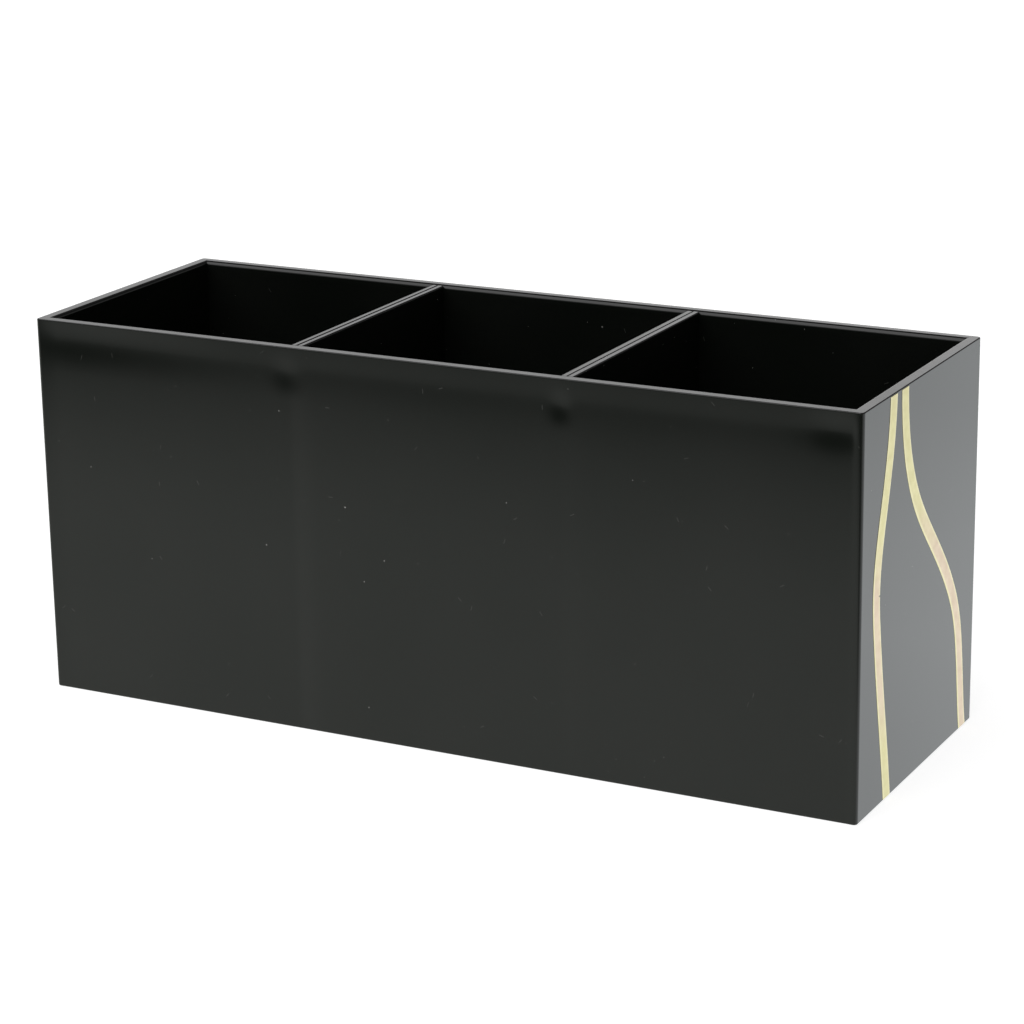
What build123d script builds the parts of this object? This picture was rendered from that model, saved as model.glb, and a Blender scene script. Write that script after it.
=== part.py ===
# Three-bay desktop organiser for hobby brushes and paints, bonded from glossy black sheet, with two
# curved gold foil stripes on its right end. It has no moving parts.
#
# Frame: millimetres, +Z up, origin at the centre of the underside. X runs along the three bays,
# -Y is the front face, and the stripes are on the +X end face.

import os

from build123d import *

# Driving dimensions
length = 220.0  # X, over the end panels
width = 77.0  # Y, over the front and back panels
height = 97.0  # Z, base underside to rim
wall_thickness = 3.3  # sheet of the four outer panels
base_thickness = 3.3  # sheet of the base
ply_thickness = 1.65  # sheet of a divider, two plies back to back
bay_count = 3
divider_drop = 0.15  # how far the dividers sit below the rim

corner_round = 1.0  # upright outer corners
rim_outer_round = 0.35  # polished outer arris of the rim
rim_inner_round = 0.9  # eased inner arris of the rim
foot_round = 0.35  # outer arris at the underside
base_arris = 0.3  # arris of the base, shows as a fine line on the underside
ply_arris = 0.45  # top arrises of each divider ply, they meet in a fine V at the seam

stripe_width = 4.3
foil_thickness = 0.1

# Sizes that follow from them
inner_length = length - 2 * wall_thickness
inner_width = width - 2 * wall_thickness
divider_thickness = 2 * ply_thickness
bay_length = (inner_length - (bay_count - 1) * divider_thickness) / bay_count
ply_height = height - base_thickness - divider_drop
foil_bottom = foot_round
foil_top = height - rim_outer_round

# Centre lines of the two stripes on the end face, as (Y, Z). Each point is a share of the face's
# half width and height, so that the curves keep their place on a panel of another size.
front_stripe_line = [
    (-0.517, 1.03),
    (-0.526, 0.94),
    (-0.603, 0.79),
    (-0.709, 0.64),
    (-0.743, 0.54),
    (-0.717, 0.43),
    (-0.618, 0.22),
    (-0.500, -0.03),
]
rear_stripe_line = [
    (-0.330, 1.03),
    (-0.322, 0.94),
    (-0.245, 0.81),
    (-0.082, 0.69),
    (0.138, 0.59),
    (0.500, 0.43),
    (0.652, 0.33),
    (0.748, 0.18),
    (0.845, -0.03),
]

os.makedirs("parts", exist_ok=True)

# The four outer panels are cut as one ring, so that their roundings run on across the mitres.
with BuildPart() as wall_ring:
    with BuildSketch():
        RectangleRounded(length, width, corner_round)
        Rectangle(inner_length, inner_width, mode=Mode.SUBTRACT)
    extrude(amount=height)
    rim_edges = faces().sort_by(Axis.Z)[-1]
    fillet(rim_edges.outer_wire().edges(), rim_outer_round)
    rim_edges = faces().sort_by(Axis.Z)[-1]
    fillet(rim_edges.inner_wires()[0].edges(), rim_inner_round)
    fillet(faces().sort_by(Axis.Z)[0].outer_wire().edges(), foot_round)


def mitre_wedge(reach_x, reach_y):
    """Plan outline of one panel's share of the ring, bounded by the 45 degree mitres at its two ends."""
    half_x = length / 2
    half_y = width / 2
    if reach_x:
        return [
            (reach_x * half_x, -half_y),
            (reach_x * half_x, half_y),
            (reach_x * (half_x - half_y), 0),
        ]
    return [
        (-half_x, reach_y * half_y),
        (half_x, reach_y * half_y),
        (half_x - half_y, 0),
        (half_y - half_x, 0),
    ]


with BuildPart() as front_panel:
    add(wall_ring.part)
    with BuildSketch():
        Polygon(*mitre_wedge(0, -1), align=None)
    extrude(amount=height, mode=Mode.INTERSECT)

with BuildPart() as back_panel:
    add(wall_ring.part)
    with BuildSketch():
        Polygon(*mitre_wedge(0, 1), align=None)
    extrude(amount=height, mode=Mode.INTERSECT)

with BuildPart() as left_end_panel:
    add(wall_ring.part)
    with BuildSketch():
        Polygon(*mitre_wedge(-1, 0), align=None)
    extrude(amount=height, mode=Mode.INTERSECT)

with BuildPart() as right_end_panel:
    add(wall_ring.part)
    with BuildSketch():
        Polygon(*mitre_wedge(1, 0), align=None)
    extrude(amount=height, mode=Mode.INTERSECT)

# The base lies inside the four panels, flush with their lower edges.
with BuildPart() as base_panel:
    with BuildSketch():
        Rectangle(inner_length, inner_width)
    extrude(amount=base_thickness)
    fillet(faces().sort_by(Axis.Z)[0].edges(), base_arris)


def divider_ply(left_face_x):
    """One sheet of a divider: it stands on the base and butts against the front and back panels."""
    with BuildPart() as ply:
        with BuildSketch(Plane.XY.offset(base_thickness)):
            with Locations((left_face_x + ply_thickness / 2, 0)):
                Rectangle(ply_thickness, inner_width)
        extrude(amount=ply_height)
        top_face = ply.faces().sort_by(Axis.Z)[-1]
        fillet(top_face.edges().filter_by(Axis.Y), ply_arris)
    return ply


dividers = {}
for side, bay in (("left", 1), ("right", 2)):
    divider_x = -inner_length / 2 + bay * bay_length + (bay - 1) * divider_thickness
    dividers[f"{side}_divider_left_ply"] = divider_ply(divider_x)
    dividers[f"{side}_divider_right_ply"] = divider_ply(divider_x + ply_thickness)


def foil_stripe(centre_line):
    """A strip of foil of even width along a curve on the right end face, trimmed at the arrises."""
    with BuildPart() as stripe:
        with BuildSketch(Plane.YZ.offset(length / 2)):
            with BuildLine():
                curve = Spline(*[(y * width / 2, z * height) for y, z in centre_line])
            trace(curve, stripe_width)
            with Locations((0, (foil_bottom + foil_top) / 2)):
                Rectangle(width, foil_top - foil_bottom, mode=Mode.INTERSECT)
        extrude(amount=foil_thickness)
    return stripe


front_gold_stripe = foil_stripe(front_stripe_line)
rear_gold_stripe = foil_stripe(rear_stripe_line)

pieces = {
    "front_panel": front_panel,
    "back_panel": back_panel,
    "left_end_panel": left_end_panel,
    "right_end_panel": right_end_panel,
    "base_panel": base_panel,
    **dividers,
    "front_gold_stripe": front_gold_stripe,
    "rear_gold_stripe": rear_gold_stripe,
}

for name, piece in pieces.items():
    piece.part.label = name
    export_step(piece.part, f"parts/{name}.step")
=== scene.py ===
import math

import bmesh
import bpy
from mathutils import Matrix, Vector, noise


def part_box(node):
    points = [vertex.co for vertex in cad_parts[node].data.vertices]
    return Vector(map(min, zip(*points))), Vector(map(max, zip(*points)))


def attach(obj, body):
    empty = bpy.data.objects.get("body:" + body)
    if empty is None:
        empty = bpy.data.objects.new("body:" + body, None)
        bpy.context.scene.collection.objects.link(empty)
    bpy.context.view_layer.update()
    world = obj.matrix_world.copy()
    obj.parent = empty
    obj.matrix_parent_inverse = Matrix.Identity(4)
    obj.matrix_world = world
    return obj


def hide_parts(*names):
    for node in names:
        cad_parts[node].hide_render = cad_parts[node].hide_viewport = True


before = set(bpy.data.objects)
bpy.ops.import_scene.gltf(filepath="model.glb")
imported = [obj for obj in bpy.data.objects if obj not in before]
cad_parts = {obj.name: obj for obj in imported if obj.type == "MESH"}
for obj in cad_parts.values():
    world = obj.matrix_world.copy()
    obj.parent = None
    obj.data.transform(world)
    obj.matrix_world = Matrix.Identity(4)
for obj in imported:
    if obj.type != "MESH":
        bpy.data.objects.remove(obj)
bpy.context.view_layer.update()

MM = 0.001

# ---------------------------------------------------------------------------------------------
# Sizes, in metres. Length, width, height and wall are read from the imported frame.
# ---------------------------------------------------------------------------------------------
front_low, front_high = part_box("front_panel")
right_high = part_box("right_end_panel")[1]
LENGTH = 2 * right_high.x
WIDTH = -2 * front_low.y
HEIGHT = front_high.z
WALL = front_high.y - front_low.y

CORNER_ROUND = 1.0 * MM
RIM_OUTER_ROUND = 0.25 * MM
RIM_INNER_ROUND = 0.9 * MM
# Matched to the soft grey band that shows along the inside of the back rim
BACK_RIM_INNER_ROUND = 1.1 * MM
FOOT_ROUND = 0.35 * MM
INNER_FOOT_ROUND = 0.15 * MM
BASE_ARRIS = 0.3 * MM
# Easing of a divider's top arrises, by divider
PLY_ARRIS = {"left": 0.38 * MM, "right": 0.30 * MM}

# Where the seam between each divider's two sheets is
SEAM_X = [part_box(f"{side}_divider_left_ply")[1].x for side in ("left", "right")]

# How the front panel departs from flat: a lip under the rim, a dimple under the top of each
# divider's joint, a shallow hollow near each upper corner, and a slow wave. Depths are into the
# sheet. LIP_SLOPE is depth per height.
LIP_SLOPE = 0.029
LIP_HEIGHT = 5.0 * MM
LIP_BLEND = 0.7 * MM
CORNER_FADE = 1.8 * MM
# centre along the panel, centre below the rim, depth, reach along, reach down
DIMPLES = (
    (SEAM_X[0] - 1.6 * MM, 6.6 * MM, 0.11 * MM, 2.3 * MM, 2.2 * MM),
    (SEAM_X[1] - 0.4 * MM, 6.7 * MM, 0.15 * MM, 1.7 * MM, 2.0 * MM),
    (LENGTH / 2 - 6.5 * MM, 4.6 * MM, 0.19 * MM, 4.5 * MM, 2.4 * MM),
    (-LENGTH / 2 + 14.0 * MM, 3.9 * MM, 0.19 * MM, 20.0 * MM, 3.4 * MM),
)
SHEET_WAVE_DEPTH = 0.02 * MM
SHEET_WAVE_LENGTH = 45 * MM
# A different place in the noise for each panel's wave
WAVE_SEED = {"front": 1.7, "back": 3.1, "left": 5.2, "right": 7.9}

# How closely the meshes are divided
END_HOLD = 0.12 * MM
LEAST_PITCH = 0.04 * MM
MERGE_DISTANCE = 0.002 * MM
FACE_PITCH_ALONG = 2.5 * MM
FACE_PITCH_UP = 2.4 * MM
FINE_PITCH = 0.5 * MM
FINE_REACH_ALONG = 6 * MM
FINE_REACH_UP = 8 * MM
RIM_PITCH = 0.5 * MM
INSIDE_PITCH = 6 * MM
PLY_PITCH_ALONG = 4 * MM
PLY_PITCH_UP = 8 * MM
CORNER_STEPS = 6
RIM_OUTER_STEPS = 6
RIM_INNER_STEPS = 12
FOOT_STEPS = 5
INNER_FOOT_STEPS = 3
PLY_ARRIS_STEPS = 7
BASE_ARRIS_STEPS = 4
SHARP_DEG = 40


# ---------------------------------------------------------------------------------------------
# Mesh helpers
# ---------------------------------------------------------------------------------------------
def arc(centre_u, centre_v, radius, start_deg, end_deg, steps):
    """Points of a circular arc in a plane, both ends included."""
    points = []
    for i in range(steps + 1):
        angle = math.radians(start_deg + (end_deg - start_deg) * i / steps)
        points.append((centre_u + radius * math.cos(angle), centre_v + radius * math.sin(angle)))
    return points


def stations(start, end, pitch, fine_at=(), fine_reach=0.0, fine_pitch=0.0, hold=END_HOLD):
    """Places along a straight run: an even pitch, a finer one round each place in fine_at, and a
    holding place close to each end, so that the roundings there don't bend the flat's shading."""
    if end < start:
        mirrored = [-centre for centre in fine_at]
        upward = stations(-start, -end, pitch, mirrored, fine_reach, fine_pitch, hold)
        return [-place for place in upward]
    places = {start, end, start + hold, end - hold}
    count = max(1, round((end - start) / pitch))
    for i in range(1, count):
        places.add(start + (end - start) * i / count)
    for centre in fine_at:
        steps = round(fine_reach / fine_pitch)
        for i in range(-steps, steps + 1):
            place = centre + i * fine_pitch
            if start + hold < place < end - hold:
                places.add(place)
    kept = []
    for place in sorted(places):
        if kept and place - kept[-1] < LEAST_PITCH and place != end:
            continue
        kept.append(place)
    return kept


def finished_mesh(name, build, sharp_deg=SHARP_DEG):
    """Makes a piece from a bmesh: merged, closed, facing outwards and smooth over its roundings."""
    bmesh.ops.remove_doubles(build, verts=build.verts, dist=MERGE_DISTANCE)
    bmesh.ops.dissolve_degenerate(build, edges=build.edges, dist=MERGE_DISTANCE)
    bmesh.ops.recalc_face_normals(build, faces=build.faces)
    mesh = bpy.data.meshes.new(name)
    build.to_mesh(mesh)
    build.free()
    mesh.shade_smooth()
    mesh.set_sharp_from_angle(angle=math.radians(sharp_deg))
    piece = bpy.data.objects.new(name, mesh)
    bpy.context.scene.collection.objects.link(piece)
    weighted = piece.modifiers.new("face_weighted_normals", "WEIGHTED_NORMAL")
    weighted.keep_sharp = True
    return piece


def name_of(node):
    """The name of the finished piece that stands for a CAD node."""
    return f"{node}_finished"


# ---------------------------------------------------------------------------------------------
# The four outer panels
# ---------------------------------------------------------------------------------------------
def bell(distance, reach):
    """1 in the middle, falling off on both sides like a bell curve."""
    return math.exp(-0.5 * (distance / reach) ** 2)


def corner_fade(u, run):
    """1 over most of a panel, 0 where its rounded corners start, so that neighbours still meet."""
    share = (run / 2 - CORNER_ROUND - abs(u)) / CORNER_FADE
    share = min(1.0, max(0.0, share))
    return share * share * (3 - 2 * share)


def sheet_wave(u, z, seed):
    """Slow unevenness of a polished sheet, as a depth."""
    height = noise.noise(Vector((u / SHEET_WAVE_LENGTH, z / SHEET_WAVE_LENGTH, seed)))
    return SHEET_WAVE_DEPTH * (1 + height) / 2


def lip(below_rim):
    """Depth of the face under the rim's lip: it leans in at one slope, then runs straight down."""
    over = math.log1p(math.exp((below_rim - LIP_HEIGHT) / LIP_BLEND))
    return LIP_SLOPE * (below_rim - LIP_BLEND * over)


def front_sink(u, z):
    """How deep the front face lies under its plane."""
    below_rim = HEIGHT - z
    depth = lip(below_rim) + sheet_wave(u, z, WAVE_SEED["front"])
    for centre, below, deep, reach_u, reach_z in DIMPLES:
        depth += deep * bell(u - centre, reach_u) * bell(below_rim - below, reach_z)
    return depth * corner_fade(u, LENGTH)


def plain_sink(run, seed):
    """The sink of a panel that shows only the sheet's own slow wave."""
    def depth(u, z):
        return sheet_wave(u, z, seed) * corner_fade(u, run)
    return depth


def panel_section(inner_round):
    """The upright section of an outer panel as (depth from the outer face, z, share of the outer
    face's sink that moves this point), from the outer foot over the rim to the inner foot."""
    under_rim = [HEIGHT - LIP_HEIGHT]
    section = []
    for depth, z in arc(FOOT_ROUND, FOOT_ROUND, FOOT_ROUND, 270, 180, FOOT_STEPS)[:-1]:
        section.append((depth, z, 1 - depth / FOOT_ROUND))
    rim_start = HEIGHT - RIM_OUTER_ROUND
    for z in stations(FOOT_ROUND, rim_start, FACE_PITCH_UP, under_rim, FINE_REACH_UP, FINE_PITCH):
        section.append((0.0, z, 1.0))
    for depth, z in arc(RIM_OUTER_ROUND, rim_start, RIM_OUTER_ROUND, 180, 90, RIM_OUTER_STEPS)[1:]:
        section.append((depth, z, 1 - depth / RIM_OUTER_ROUND))
    for depth in stations(RIM_OUTER_ROUND, WALL - inner_round, RIM_PITCH)[1:]:
        section.append((depth, HEIGHT, 0.0))
    rim_end = HEIGHT - inner_round
    for depth, z in arc(WALL - inner_round, rim_end, inner_round, 90, 0, RIM_INNER_STEPS)[1:]:
        section.append((depth, z, 0.0))
    for z in stations(rim_end, INNER_FOOT_ROUND, INSIDE_PITCH)[1:]:
        section.append((WALL, z, 0.0))
    inner_foot = arc(WALL - INNER_FOOT_ROUND, INNER_FOOT_ROUND, INNER_FOOT_ROUND, 0, -90,
                     INNER_FOOT_STEPS)
    for depth, z in inner_foot[1:]:
        section.append((depth, z, 0.0))
    return section


def mitred_run(run, depth, shares):
    """Plan line of a panel at one depth, as (place along the panel, depth) pairs: a straight run
    with half of a rounded corner at each end, ending on the 45 degree mitre."""
    radius = max(CORNER_ROUND - depth, 0.0)
    reach = run / 2 - max(CORNER_ROUND, depth)
    centre_depth = max(CORNER_ROUND, depth)
    right_end = []
    for i in range(1, CORNER_STEPS + 1):
        angle = math.radians(45 * i / CORNER_STEPS)
        along = reach + radius * math.sin(angle)
        right_end.append((along, centre_depth - radius * math.cos(angle)))
    straight = [(share * reach, depth) for share in shares]
    left_end = [(-u, d) for u, d in reversed(right_end)]
    return left_end + straight + right_end


def outer_panel(name, run, place, sink, inner_round, fine_at=()):
    """One mitred panel, a closed tube of rows with capped mitres. place(u, depth, z) puts a point
    of the panel into the frame."""
    reach = run / 2 - CORNER_ROUND
    columns = stations(-reach, reach, FACE_PITCH_ALONG, fine_at, FINE_REACH_ALONG, FINE_PITCH)
    shares = [column / reach for column in columns]
    build = bmesh.new()
    rows = []
    for depth, z, follow in panel_section(inner_round):
        row = []
        for u, d in mitred_run(run, depth, shares):
            row.append(build.verts.new(place(u, d + follow * sink(u, z), z)))
        rows.append(row)
    count = len(rows)
    for i in range(count):
        lower = rows[i]
        upper = rows[(i + 1) % count]
        for j in range(len(lower) - 1):
            build.faces.new((lower[j], lower[j + 1], upper[j + 1], upper[j]))
    build.faces.new([row[0] for row in rows])
    build.faces.new([row[-1] for row in reversed(rows)])
    return finished_mesh(name, build)


def at_front(u, depth, z):
    return Vector((u, -WIDTH / 2 + depth, z))


def at_back(u, depth, z):
    return Vector((-u, WIDTH / 2 - depth, z))


def at_right(u, depth, z):
    return Vector((LENGTH / 2 - depth, u, z))


def at_left(u, depth, z):
    return Vector((-LENGTH / 2 + depth, -u, z))


# ---------------------------------------------------------------------------------------------
# Dividers, base and foil
# ---------------------------------------------------------------------------------------------
def base_sheet(node):
    """The base: a flat sheet whose lower arrises are eased."""
    low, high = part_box(node)
    size = high - low
    centre = (high + low) / 2
    build = bmesh.new()
    bmesh.ops.create_cube(build, size=1.0)
    for vert in build.verts:
        vert.co = Vector((vert.co.x * size.x, vert.co.y * size.y, vert.co.z * size.z)) + centre
    lower = [edge for edge in build.edges if all(vert.co.z < centre.z for vert in edge.verts)]
    bmesh.ops.bevel(build, geom=lower, offset=BASE_ARRIS, segments=BASE_ARRIS_STEPS, profile=0.5,
                    affect="EDGES", clamp_overlap=False)
    return finished_mesh(name_of(node), build)


def divider_ply(node):
    """A divider's sheet: its long top arrises are eased, its ends butt square on the panels."""
    low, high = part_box(node)
    arris = PLY_ARRIS[node.split("_")[0]]
    middle = (low.x + high.x) / 2
    half = (high.x - low.x) / 2
    section = [(-half, low.z)]
    for z in stations(low.z, high.z - arris, PLY_PITCH_UP)[1:]:
        section.append((-half, z))
    section += arc(-half + arris, high.z - arris, arris, 180, 90, PLY_ARRIS_STEPS)[1:]
    section += arc(half - arris, high.z - arris, arris, 90, 0, PLY_ARRIS_STEPS)
    for z in stations(high.z - arris, low.z, PLY_PITCH_UP)[1:]:
        section.append((half, z))
    build = bmesh.new()
    rows = []
    for y in stations(low.y, high.y, PLY_PITCH_ALONG):
        rows.append([build.verts.new((middle + x, y, z)) for x, z in section])
    count = len(section)
    for near, far in zip(rows, rows[1:]):
        for j in range(count):
            k = (j + 1) % count
            build.faces.new((near[j], near[k], far[k], far[j]))
    build.faces.new(rows[0])
    build.faces.new(list(reversed(rows[-1])))
    return finished_mesh(name_of(node), build)


SAME_PLACE = 1e-6
LEVEL_SEGMENT = 1e-9
KEY_DIGITS = 7


def outline_at(segments, z):
    """Where a foil stripe's two edges are at one height, read from its CAD outline."""
    crossings = []
    for (y0, z0), (y1, z1) in segments:
        if min(z0, z1) <= z <= max(z0, z1) and abs(z1 - z0) > LEVEL_SEGMENT:
            crossings.append(y0 + (y1 - y0) * (z - z0) / (z1 - z0))
    return min(crossings), max(crossings)


def foil_edges(node):
    """The outline of a stripe's outer face as line segments in Y and Z."""
    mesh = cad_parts[node].data
    face_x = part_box(node)[1].x
    used = {}
    for polygon in mesh.polygons:
        corners = [mesh.vertices[i].co for i in polygon.vertices]
        if all(abs(c.x - face_x) < SAME_PLACE for c in corners):
            keys = [(round(c.y, KEY_DIGITS), round(c.z, KEY_DIGITS)) for c in corners]
            for a, b in zip(keys, keys[1:] + keys[:1]):
                key = frozenset((a, b))
                used[key] = used.get(key, 0) + 1
    return [tuple(key) for key, count in used.items() if count == 1 and len(key) == 2]


# Places across a stripe, from one edge to the other, closer together near the edges
HALF_ACROSS = (0.3, 0.6, 0.8, 0.9, 0.95, 0.985, 1.0)
FOIL_ACROSS = [-share for share in reversed(HALF_ACROSS)] + [0.0] + list(HALF_ACROSS)
FOIL_PITCH = 0.8 * MM
FOIL_HOLD = 0.05 * MM
FOIL_SHARP_DEG = 75
# How far inside its CAD outline a stripe's ends are read
OUTLINE_INSET = 1e-7
EDGE_WAVER = 0.035 * MM
WAVER_PER_METRE = 260
WAVER_ROW = {"left": 0.0, "right": 5.0}
# The eased edge's share of the half width, and the foil's thickness there as a share of the whole
EASED_SHARE = 0.1
EDGE_THICKNESS = 0.25
# The swell of the face: its mean level and depth, what is added before it is clipped at the full
# thickness, and its cells per metre
SWELL_LEVEL = 0.78
SWELL_DEPTH = 0.22
SWELL_CLIP = 0.2
SWELL_ACROSS = 180
SWELL_ALONG = 70
# The nick in the front stripe's rear edge: its height as a share of the stripe's, its size, and the
# finer rows round it
NICK_SHARE = 0.531
NICK_DEPTH = 0.75 * MM
NICK_HALF_HEIGHT = 0.17 * MM
NICK_REACH = 0.9 * MM
NICK_PITCH = 0.06 * MM
NO_NICK_Z = -1.0
# Where the paler edge starts and over how much it blends in, as shares of the half width
PALE_EDGE_START = 0.6
PALE_EDGE_BLEND = 0.3
STRIPE_SEED = {"front_gold_stripe": 2.3, "rear_gold_stripe": 8.1}


def quad_strip(build, one, other):
    """Faces between two rows of as many points each."""
    for j in range(len(one) - 1):
        build.faces.new((one[j], one[j + 1], other[j + 1], other[j]))


def foil_stripe(node, nick_share=None):
    """A thin strip laid on the end panel. Its edges are eased and waver a little, and its face has
    the faint swell of foil pressed down by hand. The edge attribute is 1 along its two edges."""
    low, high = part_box(node)
    seed = STRIPE_SEED[node]
    segments = foil_edges(node)
    nick_z = low.z + nick_share * (high.z - low.z) if nick_share else NO_NICK_Z
    fine_at = [nick_z] if nick_share else []
    first = low.z + OUTLINE_INSET
    last = high.z - OUTLINE_INSET
    levels = stations(first, last, FOIL_PITCH, fine_at, NICK_REACH, NICK_PITCH, hold=FOIL_HOLD)
    thickness = high.x - low.x
    build = bmesh.new()
    fronts = []
    backs = []
    for z in levels:
        left, right = outline_at(segments, z)
        along = z * WAVER_PER_METRE
        left += EDGE_WAVER * noise.noise(Vector((along, seed, WAVER_ROW["left"])))
        right += EDGE_WAVER * noise.noise(Vector((along, seed, WAVER_ROW["right"])))
        if abs(z - nick_z) < NICK_HALF_HEIGHT:
            right -= NICK_DEPTH * (1 - (abs(z - nick_z) / NICK_HALF_HEIGHT) ** 2)
        front = []
        back = []
        for share in FOIL_ACROSS:
            y = (left + right) / 2 + share * (right - left) / 2
            from_edge = min(1.0, (1 - abs(share)) / EASED_SHARE)
            lift = math.sqrt(max(0.0, 1 - (1 - from_edge) ** 2))
            swell = noise.noise(Vector((y * SWELL_ACROSS, z * SWELL_ALONG, seed)))
            fullness = min(1.0, SWELL_LEVEL + SWELL_DEPTH * swell + SWELL_CLIP)
            x = low.x + thickness * (EDGE_THICKNESS + (1 - EDGE_THICKNESS) * lift * fullness)
            front.append(build.verts.new((min(x, high.x), y, z)))
            back.append(build.verts.new((low.x, y, z)))
        fronts.append(front)
        backs.append(back)
    for layer in (fronts, backs):
        for lower, upper in zip(layer, layer[1:]):
            quad_strip(build, lower, upper)
    for column in (0, -1):
        quad_strip(build, [row[column] for row in fronts], [row[column] for row in backs])
    for end in (0, -1):
        quad_strip(build, fronts[end], backs[end])
    piece = finished_mesh(name_of(node), build, sharp_deg=FOIL_SHARP_DEG)
    edge_share = piece.data.attributes.new("edge", "FLOAT", "POINT")
    for vert in piece.data.vertices:
        left, right = outline_at(segments, min(max(vert.co.z, first), last))
        across = abs(2 * (vert.co.y - left) / (right - left) - 1)
        share = (across - PALE_EDGE_START) / PALE_EDGE_BLEND
        edge_share.data[vert.index].value = min(1.0, max(0.0, share))
    return piece


# ---------------------------------------------------------------------------------------------
# Materials
# ---------------------------------------------------------------------------------------------
SHEET_IOR = 1.49
# The spans of a noise texture's output that the looks use: most of it, and its middle
NOISE_WIDE = (0.3, 0.7)
NOISE_NARROW = (0.35, 0.65)

# Linear colours
BLACK_DEEP = (0.0050, 0.0062, 0.0050, 1)
BLACK_PALER = (0.0068, 0.0078, 0.0066, 1)
# The grey of the painted sheen, a paler band standing in for a reflection over the dividers' joints
PAINTED_SHEEN_GREY = (0.085, 0.085, 0.08, 1)
DUST_GREY = (0.30, 0.295, 0.28, 1)
EDGE_DEEP = (0.0060, 0.0064, 0.0060, 1)
EDGE_PALER = (0.0100, 0.0102, 0.0095, 1)
EDGE_NICK_GREY = (0.12, 0.12, 0.12, 1)
LEMON_GOLD = (0.66, 0.60, 0.30, 1)
PINKER_GOLD = (0.64, 0.50, 0.36, 1)
PALE_EDGE_GOLD = (0.76, 0.70, 0.42, 1)
FLECK_GOLD = (0.42, 0.36, 0.22, 1)


class Nodes:
    """Short names for adding and linking the shader nodes of a material or a world."""

    def __init__(self, owner):
        owner.use_nodes = True
        self.owner = owner
        self.tree = owner.node_tree
        self.shader = self.tree.nodes.get("Principled BSDF")

    def add(self, kind, **settings):
        node = self.tree.nodes.new(kind)
        for key, value in settings.items():
            setattr(node, key, value)
        return node

    def link(self, source, target):
        self.tree.links.new(source, target)

    def put(self, socket, value):
        if isinstance(value, bpy.types.NodeSocket):
            self.link(value, socket)
        else:
            socket.default_value = value

    def math(self, operation, a, b=0.0, c=0.0):
        node = self.add("ShaderNodeMath", operation=operation)
        self.put(node.inputs[0], a)
        self.put(node.inputs[1], b)
        self.put(node.inputs[2], c)
        return node.outputs[0]

    def vector(self, operation, a, b=(0.0, 0.0, 0.0)):
        node = self.add("ShaderNodeVectorMath", operation=operation)
        self.put(node.inputs[0], a)
        self.put(node.inputs[1], b)
        return node.outputs["Value" if operation in ("DOT_PRODUCT", "LENGTH") else "Vector"]

    def remap(self, value, low, high, to_low, to_high, smooth=False):
        node = self.add("ShaderNodeMapRange")
        node.interpolation_type = "SMOOTHSTEP" if smooth else "LINEAR"
        self.put(node.inputs["Value"], value)
        node.inputs["From Min"].default_value = low
        node.inputs["From Max"].default_value = high
        node.inputs["To Min"].default_value = to_low
        node.inputs["To Max"].default_value = to_high
        return node.outputs["Result"]

    def mix(self, share, a, b):
        node = self.add("ShaderNodeMix", data_type="RGBA")
        self.put(node.inputs["Factor"], share)
        self.put(node.inputs["A"], a)
        self.put(node.inputs["B"], b)
        return node.outputs["Result"]

    def place(self):
        return self.add("ShaderNodeTexCoord").outputs["Object"]

    def coordinates(self, vector):
        """The X, Y and Z outputs of a vector."""
        parts = self.add("ShaderNodeSeparateXYZ")
        self.link(vector, parts.inputs["Vector"])
        return parts.outputs["X"], parts.outputs["Y"], parts.outputs["Z"]

    def noise(self, place, cells_per_metre, detail=3.0, rough=0.5, stretch=(1.0, 1.0, 1.0)):
        mapping = self.add("ShaderNodeMapping")
        self.put(mapping.inputs["Vector"], place)
        mapping.inputs["Scale"].default_value = stretch
        node = self.add("ShaderNodeTexNoise")
        self.put(node.inputs["Vector"], mapping.outputs["Vector"])
        node.inputs["Scale"].default_value = cells_per_metre
        node.inputs["Detail"].default_value = detail
        node.inputs["Roughness"].default_value = rough
        return node.outputs["Fac"]

    def cells(self, place, cells_per_metre):
        node = self.add("ShaderNodeTexVoronoi")
        self.put(node.inputs["Vector"], place)
        node.inputs["Scale"].default_value = cells_per_metre
        return node

    def bump(self, height, depth, below=None):
        node = self.add("ShaderNodeBump")
        node.inputs["Strength"].default_value = 1.0
        node.inputs["Distance"].default_value = depth
        self.put(node.inputs["Height"], height)
        if below is not None:
            self.put(node.inputs["Normal"], below)
        return node.outputs["Normal"]


# The share of cells that hold no speck of dust
DUSTLESS = 0.3


def dust_mask(n, place, cells_per_metre, largest):
    """Stray specks of dust, where the surface cuts a cell near its middle. largest is the biggest
    speck's radius in cells."""
    cells = n.cells(place, cells_per_metre)
    parts = n.add("ShaderNodeSeparateColor")
    n.link(cells.outputs["Color"], parts.inputs["Color"])
    size = n.remap(parts.outputs["Red"], DUSTLESS, 1.0, 0.0, largest)
    inside = n.math("SUBTRACT", size, cells.outputs["Distance"])
    return n.remap(inside, 0.0, largest / 3, 0.0, 1.0, smooth=True)


# A scratch is full to these shares of its half length and half width and then fades, and shows
# where the surface passes within these distances of its cell's middle
SCRATCH_FULL_RUN = 0.6
SCRATCH_FULL_SIDE = 0.3
SCRATCH_OFF_PLANE = (0.5 * MM, 1.0 * MM)


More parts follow.
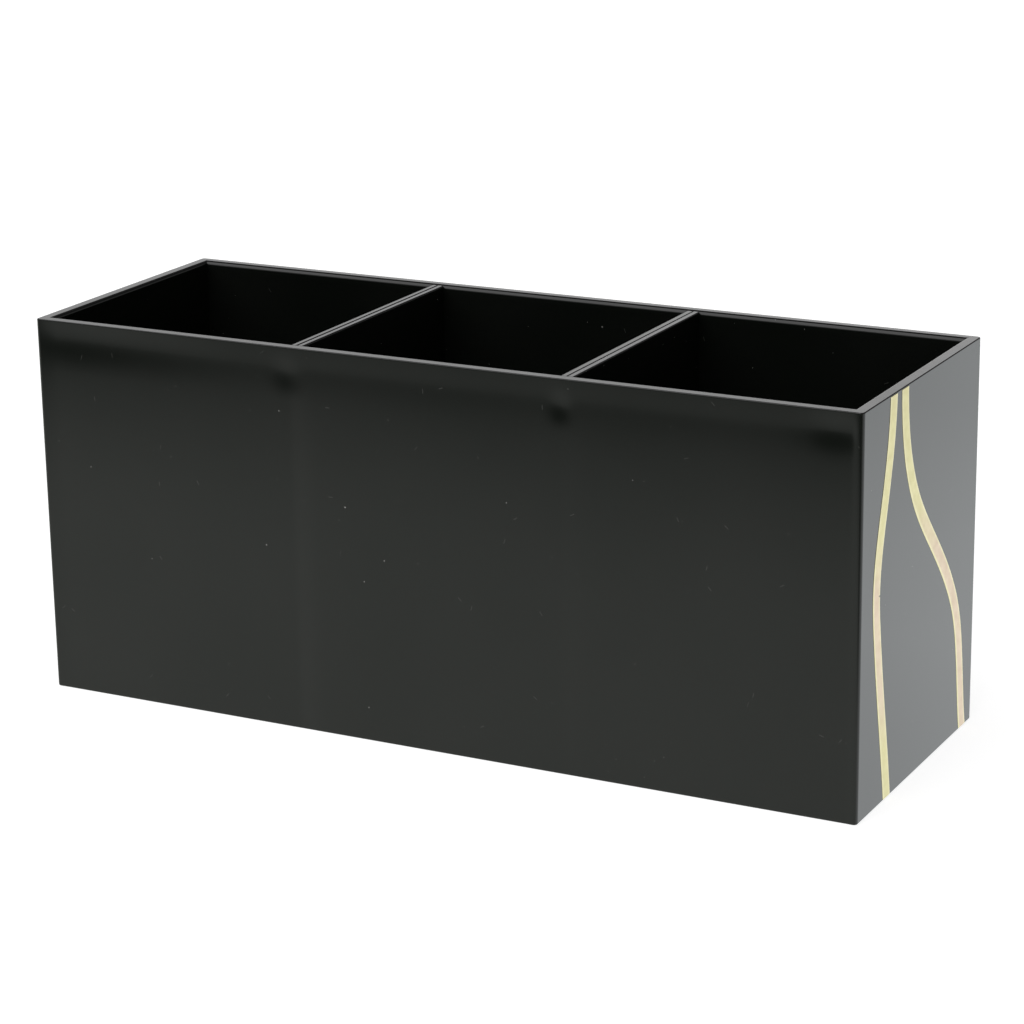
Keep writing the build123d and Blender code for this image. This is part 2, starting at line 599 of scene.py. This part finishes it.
def hairline_mask(n, place, cells_per_metre, half_length, half_width):
    """Short straight hairline scratches, one in each cell that the surface cuts near its middle,
    each at its own angle."""
    cells = n.cells(place, cells_per_metre)
    normal = n.add("ShaderNodeTexCoord").outputs["Normal"]
    offset = n.vector("SUBTRACT", place, cells.outputs["Position"])
    tilt = n.vector("SUBTRACT", cells.outputs["Color"], (0.5, 0.5, 0.5))
    along = n.vector("NORMALIZE", n.vector("CROSS_PRODUCT", normal, tilt))
    across = n.vector("CROSS_PRODUCT", normal, along)
    run = n.math("ABSOLUTE", n.vector("DOT_PRODUCT", offset, along))
    side = n.math("ABSOLUTE", n.vector("DOT_PRODUCT", offset, across))
    off_plane = n.math("ABSOLUTE", n.vector("DOT_PRODUCT", offset, normal))
    in_run = n.remap(run, half_length * SCRATCH_FULL_RUN, half_length, 1.0, 0.0, smooth=True)
    in_side = n.remap(side, half_width * SCRATCH_FULL_SIDE, half_width, 1.0, 0.0)
    in_plane = n.remap(off_plane, *SCRATCH_OFF_PLANE, 1.0, 0.0)
    return n.math("MULTIPLY", in_plane, n.math("MULTIPLY", in_run, in_side))


# The painted sheen over each divider's joint, a paler band that stands in for a paler reflection:
# its strength by divider, where it rises and falls beside the seam, where it starts below the rim,
# and how deep into the box it counts as the front face
SHEEN_STRENGTH = (1.0, 0.25)
SHEEN_RISE = (-1.6 * MM, 0.8 * MM)
SHEEN_FALL = (1.5 * MM, 7.5 * MM)
SHEEN_BELOW_RIM = (9 * MM, 14 * MM)
SHEEN_DEPTH = (0.5 * MM, 0.8 * MM)
SHEEN_SHARE = 0.035


def joint_painted_sheen(n, place):
    """A faint paler band painted over each divider's joint, a painted sheen that stands in for a
    paler reflection there, stronger at the left divider: 1 down the middle of the left joint's
    band, on the front face only."""
    x, y, z = n.coordinates(place)
    front_y = -WIDTH / 2
    on_front = n.remap(y, front_y + SHEEN_DEPTH[0], front_y + SHEEN_DEPTH[1], 1.0, 0.0)
    total = 0.0
    for seam, strength in zip(SEAM_X, SHEEN_STRENGTH):
        rise = n.remap(x, seam + SHEEN_RISE[0], seam + SHEEN_RISE[1], 0.0, strength, smooth=True)
        fall = n.remap(x, seam + SHEEN_FALL[0], seam + SHEEN_FALL[1], 1.0, 0.0, smooth=True)
        total = n.math("ADD", total, n.math("MULTIPLY", rise, fall))
    below_rim = n.remap(z, HEIGHT - SHEEN_BELOW_RIM[0], HEIGHT - SHEEN_BELOW_RIM[1], 0.0, 1.0,
                        smooth=True)
    return n.math("MULTIPLY", n.math("MULTIPLY", total, below_rim), on_front)


# Polished faces. Scales are cells per metre, and dust comes as (scale, largest radius in cells).
FACE_DRIFT_SCALE = 22.0
FINE_DUST = (420.0, 0.042)
COARSE_DUST = (180.0, 0.040)
SCRATCH_SCALE = 95.0
SCRATCH_HALF_LENGTH = 0.7 * MM
SCRATCH_HALF_WIDTH = 0.09 * MM
SCRATCH_STRENGTH = 0.16
WIPE_SCALE = 16.0
WIPE_STRETCH = (1.0, 1.0, 0.45)
WIPE_ROUGHNESS = (0.035, 0.085)
HAZE_SCALE = 130.0
HAZE_ROUGHNESS = (0.0, 0.03)
MARK_ROUGHNESS = 0.6
PEEL_SCALE = 420.0
PEEL_DEPTH = 0.0006 * MM
GRAIN_SCALE = 3000.0
GRAIN_DEPTH = 0.00012 * MM
DUST_HEIGHT = 0.004 * MM


def gloss_black(name):
    """Polished black sheet: near mirror gloss under faint wipe marks, with dust, hairlines and a
    painted sheen over the dividers' joints.
    """
    n = Nodes(bpy.data.materials.new(name))
    place = n.place()
    drift = n.remap(n.noise(place, FACE_DRIFT_SCALE), *NOISE_NARROW, 0.0, 1.0)
    black = n.mix(drift, BLACK_DEEP, BLACK_PALER)
    # Painted sheen: a paler grey is mixed into the colour over each divider's joint, standing in
    # for a reflection
    painted_sheen = n.math("MULTIPLY", joint_painted_sheen(n, place), SHEEN_SHARE)
    tint = n.mix(painted_sheen, black, PAINTED_SHEEN_GREY)
    dust = n.math("MAXIMUM", dust_mask(n, place, *COARSE_DUST), dust_mask(n, place, *FINE_DUST))
    scratches = hairline_mask(n, place, SCRATCH_SCALE, SCRATCH_HALF_LENGTH, SCRATCH_HALF_WIDTH)
    marks = n.math("MAXIMUM", dust, n.math("MULTIPLY", scratches, SCRATCH_STRENGTH))
    n.link(n.mix(marks, tint, DUST_GREY), n.shader.inputs["Base Color"])

    wipes = n.noise(place, WIPE_SCALE, detail=5.0, rough=0.62, stretch=WIPE_STRETCH)
    haze = n.noise(place, HAZE_SCALE, detail=4.0)
    wiped = n.remap(wipes, *NOISE_WIDE, *WIPE_ROUGHNESS)
    polish = n.math("ADD", wiped, n.remap(haze, *NOISE_WIDE, *HAZE_ROUGHNESS))
    marked = n.math("MULTIPLY", marks, MARK_ROUGHNESS)
    n.link(n.math("MAXIMUM", polish, marked), n.shader.inputs["Roughness"])
    n.shader.inputs["IOR"].default_value = SHEET_IOR

    peel = n.bump(n.noise(place, PEEL_SCALE, detail=2.0), PEEL_DEPTH)
    grain = n.bump(n.noise(place, GRAIN_SCALE, detail=2.0), GRAIN_DEPTH, peel)
    n.link(n.bump(dust, DUST_HEIGHT, grain), n.shader.inputs["Normal"])
    return n.owner


# Cut edges
EDGE_DRIFT_SCALE = 300.0
EDGE_NICKS = (500.0, 0.10)
PATCH_SCALE = 150.0
PATCH_ROUGHNESS = (0.06, 0.13)
PATCH_DEPTH = 0.006 * MM
EDGE_GRAIN_SCALE = 1400.0
EDGE_GRAIN_ROUGHNESS = (0.0, 0.03)
EDGE_GRAIN_DEPTH = 0.0006 * MM
SAW_SCALE = 190.0
SAW_DISTORTION = 3.0
SAW_DEPTH = 0.0012 * MM


def cut_edge_black(name):
    """The sheet's sawn and buffed edges: the same black, with faint saw marks and uneven gloss."""
    n = Nodes(bpy.data.materials.new(name))
    place = n.place()
    tint = n.mix(n.noise(place, EDGE_DRIFT_SCALE), EDGE_DEEP, EDGE_PALER)
    nicks = dust_mask(n, place, *EDGE_NICKS)
    n.link(n.mix(nicks, tint, EDGE_NICK_GREY), n.shader.inputs["Base Color"])
    patches = n.noise(place, PATCH_SCALE, detail=4.0, rough=0.6)
    grain = n.noise(place, EDGE_GRAIN_SCALE, detail=2.0)
    patched = n.remap(patches, *NOISE_WIDE, *PATCH_ROUGHNESS)
    polish = n.math("ADD", patched, n.remap(grain, *NOISE_WIDE, *EDGE_GRAIN_ROUGHNESS))
    n.link(polish, n.shader.inputs["Roughness"])
    n.shader.inputs["IOR"].default_value = SHEET_IOR
    waves = n.bump(patches, PATCH_DEPTH)
    saw = n.add("ShaderNodeTexWave", wave_type="BANDS", bands_direction="DIAGONAL")
    n.link(place, saw.inputs["Vector"])
    saw.inputs["Scale"].default_value = SAW_SCALE
    saw.inputs["Distortion"].default_value = SAW_DISTORTION
    saw.inputs["Detail"].default_value = 2.0
    marks = n.bump(saw.outputs["Fac"], SAW_DEPTH, waves)
    n.link(n.bump(grain, EDGE_GRAIN_DEPTH, marks), n.shader.inputs["Normal"])
    return n.owner


# Foil. Its tone turns pinker between these heights, but the foot of the front stripe stays lemon
PINKER_BELOW = (68 * MM, 50 * MM)
FRONT_SIDE = (0.0, -12 * MM)
LEMON_FOOT = (32 * MM, 14 * MM)
TONE_SCALE = 55.0
TONE_DRIFT = 0.25
FLECK_SCALE = 900.0
FLECK_STRENGTH = 0.14
FLECK_DEPTH = 0.002 * MM
SATIN_SCALE = 420.0
SATIN_ROUGHNESS = (0.28, 0.40)
CREASE_SCALE = 260.0
CREASE_STRETCH = (1.0, 1.0, 0.25)
CREASE_DEPTH = 0.008 * MM


def gold_foil(name):
    """Pale gold metallised foil, satin, drifting between lemon and a pinker gold."""
    n = Nodes(bpy.data.materials.new(name))
    place = n.place()
    _, y, z = n.coordinates(place)
    lower = n.remap(z, *PINKER_BELOW, 0.0, 1.0, smooth=True)
    to_front = n.remap(y, *FRONT_SIDE, 0.0, 1.0, smooth=True)
    foot = n.remap(z, *LEMON_FOOT, 0.0, 1.0, smooth=True)
    pinker = n.math("SUBTRACT", lower, n.math("MULTIPLY", to_front, foot))
    drift = n.remap(n.noise(place, TONE_SCALE), *NOISE_NARROW, -TONE_DRIFT, TONE_DRIFT)
    flecks = n.noise(place, FLECK_SCALE, detail=2.0)
    gold = n.mix(n.math("ADD", pinker, drift), LEMON_GOLD, PINKER_GOLD)
    edge = n.add("ShaderNodeAttribute", attribute_name="edge").outputs["Fac"]
    edged = n.mix(edge, gold, PALE_EDGE_GOLD)
    shade = n.remap(flecks, *NOISE_WIDE, 0.0, FLECK_STRENGTH)
    n.link(n.mix(shade, edged, FLECK_GOLD), n.shader.inputs["Base Color"])
    n.shader.inputs["Metallic"].default_value = 1.0
    satin = n.noise(place, SATIN_SCALE, detail=4.0)
    n.link(n.remap(satin, *NOISE_WIDE, *SATIN_ROUGHNESS), n.shader.inputs["Roughness"])
    creases = n.noise(place, CREASE_SCALE, detail=4.0, stretch=CREASE_STRETCH)
    creased = n.bump(creases, CREASE_DEPTH)
    n.link(n.bump(flecks, FLECK_DEPTH, creased), n.shader.inputs["Normal"])
    return n.owner


# A face whose normal rises more than this takes the cut edge's material
UPWARD = 0.6


def dress(piece, node, face_material, edge_material=None):
    """Rides a piece on the body, lets it stand for its node and gives it its materials: the edge
    material on faces that look upwards, the face material on the rest."""
    piece.data.materials.append(face_material)
    if edge_material:
        piece.data.materials.append(edge_material)
        for polygon in piece.data.polygons:
            if polygon.normal.z > UPWARD:
                polygon.material_index = 1
    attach(piece, "root")
    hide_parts(node)
    return piece


sheet_face = gloss_black("black_sheet_face")
sheet_edge = cut_edge_black("black_sheet_cut_edge")
foil = gold_foil("gold_foil_satin")

dimple_centres = [dimple[0] for dimple in DIMPLES]
back_sink = plain_sink(LENGTH, WAVE_SEED["back"])
left_sink = plain_sink(WIDTH, WAVE_SEED["left"])
right_sink = plain_sink(WIDTH, WAVE_SEED["right"])
panels = (
    ("front_panel", LENGTH, at_front, front_sink, RIM_INNER_ROUND, dimple_centres),
    ("back_panel", LENGTH, at_back, back_sink, BACK_RIM_INNER_ROUND, ()),
    ("left_end_panel", WIDTH, at_left, left_sink, RIM_INNER_ROUND, ()),
    ("right_end_panel", WIDTH, at_right, right_sink, RIM_INNER_ROUND, ()),
)
for node, run, place, sink, inner_round, fine_at in panels:
    piece = outer_panel(name_of(node), run, place, sink, inner_round, fine_at)
    dress(piece, node, sheet_face, sheet_edge)

for node in sorted(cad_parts):
    if node.endswith("_ply"):
        dress(divider_ply(node), node, sheet_face, sheet_edge)

dress(base_sheet("base_panel"), "base_panel", sheet_face)

dress(foil_stripe("front_gold_stripe", NICK_SHARE), "front_gold_stripe", foil)
dress(foil_stripe("rear_gold_stripe"), "rear_gold_stripe", foil)


# ---------------------------------------------------------------------------------------------
# Camera
# ---------------------------------------------------------------------------------------------
# Angles in degrees. The camera stands back from the frame's origin, moved aside and up in its own
# view.
CAMERA_AZIMUTH = 27.628
CAMERA_ELEVATION = 16.914
CAMERA_ROLL = -0.888
CAMERA_DISTANCE = 0.7985
CAMERA_ASIDE = 0.00183
CAMERA_RAISE = 0.0478
LENS_MM = 111.07
SENSOR_MM = 36
CLIP_END = 50


def make_camera():
    azimuth = math.radians(CAMERA_AZIMUTH)
    elevation = math.radians(CAMERA_ELEVATION)
    level = math.cos(elevation)
    back = Vector((math.sin(azimuth) * level, -math.cos(azimuth) * level, math.sin(elevation)))
    level_right = Vector((math.cos(azimuth), math.sin(azimuth), 0))
    level_up = back.cross(level_right)
    roll = Matrix.Rotation(math.radians(CAMERA_ROLL), 3, back)
    right = roll @ level_right
    up = roll @ level_up
    data = bpy.data.cameras.new("camera")
    data.lens = LENS_MM
    data.sensor_width = SENSOR_MM
    data.clip_end = CLIP_END
    camera = bpy.data.objects.new("camera", data)
    turn = Matrix((right, up, back)).transposed().to_4x4()
    place = right * CAMERA_ASIDE + up * CAMERA_RAISE + back * CAMERA_DISTANCE
    camera.matrix_world = Matrix.Translation(place) @ turn
    bpy.context.scene.collection.objects.link(camera)
    bpy.context.scene.camera = camera


make_camera()

# ---------------------------------------------------------------------------------------------
# Floor and studio light
# ---------------------------------------------------------------------------------------------
FLOOR_SIZE = 12.0
FLOOR_Z = -0.0002
TABLE_Z = -0.0004
FLOOR_WHITE = (0.5, 0.5, 0.5, 1)
FLOOR_ROUGHNESS = 0.9
FLOOR_GLOW = 0.86


def big_plane(name, z):
    mesh = bpy.data.meshes.new(name)
    half = FLOOR_SIZE / 2
    corners = [(-half, -half, z), (half, -half, z), (half, half, z), (-half, half, z)]
    mesh.from_pydata(corners, [], [(0, 1, 2, 3)])
    plane = bpy.data.objects.new(name, mesh)
    bpy.context.scene.collection.objects.link(plane)
    return plane


def make_floor():
    """The white floor that is seen, which glows so that it stays white under the soft light. The
    gloss sees the lit table just below it instead."""
    n = Nodes(bpy.data.materials.new("floor_white"))
    n.shader.inputs["Base Color"].default_value = FLOOR_WHITE
    n.shader.inputs["Roughness"].default_value = FLOOR_ROUGHNESS
    n.shader.inputs["Specular IOR Level"].default_value = 0.0
    n.shader.inputs["Emission Color"].default_value = (1, 1, 1, 1)
    n.shader.inputs["Emission Strength"].default_value = FLOOR_GLOW
    floor = big_plane("floor", FLOOR_Z)
    floor.data.materials.append(n.owner)
    floor.visible_glossy = False


def light_ramp(n, value, stops, peak):
    """A light level that follows (place, level) stops. The ramp holds levels as shares of peak."""
    first = stops[0][0]
    last = stops[-1][0]
    ramp = n.add("ShaderNodeValToRGB")
    n.link(n.remap(value, first, last, 0.0, 1.0), ramp.inputs["Fac"])
    elements = ramp.color_ramp.elements
    while len(elements) < len(stops):
        elements.new(0.5)
    for element, (at, level) in zip(elements, stops):
        element.position = (at - first) / (last - first)
        share = level / peak
        element.color = (share, share, share, 1)
    return n.math("MULTIPLY", ramp.outputs["Color"], peak)


# Light level of the table in the box's shade, by distance in front of the front face
TABLE_IN_SHADE = (
    (-0.05, 0.67), (0.02, 0.66), (0.124, 0.63), (0.165, 0.59), (0.202, 0.52), (0.247, 0.41),
    (0.270, 0.345), (0.283, 0.28), (0.299, 0.21), (0.320, 0.15), (0.345, 0.10), (0.381, 0.05),
    (0.455, 0.02),
)
SHADE_PEAK = 1.0
# It gains a little to the left and fades to the right: X from, X to, level from, level to
SHADE_LEFTWARD = (-0.02, -0.14, 1.0, 1.07)
SHADE_RIGHTWARD = (0.13, 0.24, 1.0, 0.25)
# Light level of the table where the light falls, by distance from the front right corner
TABLE_IN_LIGHT = (
    (0.0, 1.19), (0.056, 1.24), (0.135, 1.35), (0.225, 1.33), (0.304, 1.25), (0.372, 1.18),
    (0.56, 1.15), (0.85, 0.80), (1.35, 0.40),
)
LIT_PEAK = 1.6
# The way from that corner to the middle of the light, and the cosines to it between which the
# shade gives way to the light
LIT_WAY = (0.454, 0.891, 0.0)
LIT_BLEND = (-0.45, 0.80)
SHADE_TINT = (0.985, 1.02, 0.965, 1)
LIT_TINT = (0.965, 1.0, 1.012, 1)


def make_lit_table():
    """The table as the gloss sees it: lit from behind right, with the box's own soft shade in
    front."""
    n = Nodes(bpy.data.materials.new("table_light"))
    n.tree.nodes.remove(n.shader)
    place = n.place()
    x, y, _ = n.coordinates(place)
    ahead = n.math("SUBTRACT", -WIDTH / 2, y)
    shade = light_ramp(n, ahead, TABLE_IN_SHADE, SHADE_PEAK)
    leftward = n.remap(x, *SHADE_LEFTWARD, smooth=True)
    rightward = n.remap(x, *SHADE_RIGHTWARD, smooth=True)
    shade = n.math("MULTIPLY", shade, n.math("MULTIPLY", leftward, rightward))

    from_corner = n.vector("SUBTRACT", place, (LENGTH / 2, -WIDTH / 2, 0.0))
    lit = light_ramp(n, n.vector("LENGTH", from_corner), TABLE_IN_LIGHT, LIT_PEAK)
    facing = n.vector("DOT_PRODUCT", n.vector("NORMALIZE", from_corner), LIT_WAY)
    in_light = n.remap(facing, *LIT_BLEND, 0.0, 1.0, smooth=True)
    colour = n.mix(in_light, SHADE_TINT, LIT_TINT)
    level = n.add("ShaderNodeMix", data_type="FLOAT")
    n.link(in_light, level.inputs["Factor"])
    n.link(shade, level.inputs["A"])
    n.link(lit, level.inputs["B"])
    glow = n.add("ShaderNodeEmission")
    n.link(colour, glow.inputs["Color"])
    n.link(level.outputs["Result"], glow.inputs["Strength"])
    n.link(glow.outputs["Emission"], n.tree.nodes["Material Output"].inputs["Surface"])
    table = big_plane("table_light", TABLE_Z)
    table.data.materials.append(n.owner)
    table.visible_camera = False
    table.visible_diffuse = False
    table.visible_shadow = False
    table.visible_transmission = False
    table.visible_volume_scatter = False


# Light level along the horizon by bearing, in degrees: 0 is +Y, 90 is +X
HORIZON = (
    (-180, 0.30), (-140, 0.30), (-110, 0.66), (-62, 0.80), (-38, 0.74), (-29, 0.87), (-19, 0.99),
    (-13, 0.84), (-6, 0.30), (40, 0.20), (62, 0.45), (115, 0.45), (150, 0.30), (180, 0.30),
)
HORIZON_PEAK = 1.5
# Degrees above the horizon between which the backdrop ends
HORIZON_TOP = (16.4, 20.4)
# Light from everywhere, which is all there is between the backdrop and the softbox
GAP_LIGHT = 0.07
SOFTBOX_LIGHT = 1.75
# Degrees from the softbox's middle between which it ends
SOFTBOX_HALF_ANGLE = (31.0, 39.0)
SOFTBOX_WAY = (-0.249, -0.549, 0.798)


def make_world():
    """A backdrop low all round, brightest behind left, a dark gap over it, and a broad softbox high
    at the front left."""
    world = bpy.data.worlds.new("studio")
    bpy.context.scene.world = world
    n = Nodes(world)
    way = n.add("ShaderNodeTexCoord").outputs["Generated"]
    x, y, z = n.coordinates(way)
    bearing = n.math("DEGREES", n.math("ARCTAN2", x, y))
    rise = n.math("DEGREES", n.math("ARCSINE", z))
    horizon = light_ramp(n, bearing, HORIZON, HORIZON_PEAK)
    backdrop = n.math("MULTIPLY", horizon, n.remap(rise, *HORIZON_TOP, 1.0, 0.0, smooth=True))

    off_axis = n.math("DEGREES", n.math("ARCCOSINE", n.vector("DOT_PRODUCT", way, SOFTBOX_WAY)))
    softbox = n.remap(off_axis, *SOFTBOX_HALF_ANGLE, SOFTBOX_LIGHT, 0.0, smooth=True)
    light = n.math("ADD", n.math("MAXIMUM", backdrop, softbox), GAP_LIGHT)
    colour = n.add("ShaderNodeCombineColor")
    for key in ("Red", "Green", "Blue"):
        n.link(light, colour.inputs[key])
    n.link(colour.outputs["Color"], n.tree.nodes["Background"].inputs["Color"])


make_floor()
make_lit_table()
make_world()
bpy.context.scene.view_settings.view_transform = "Standard"
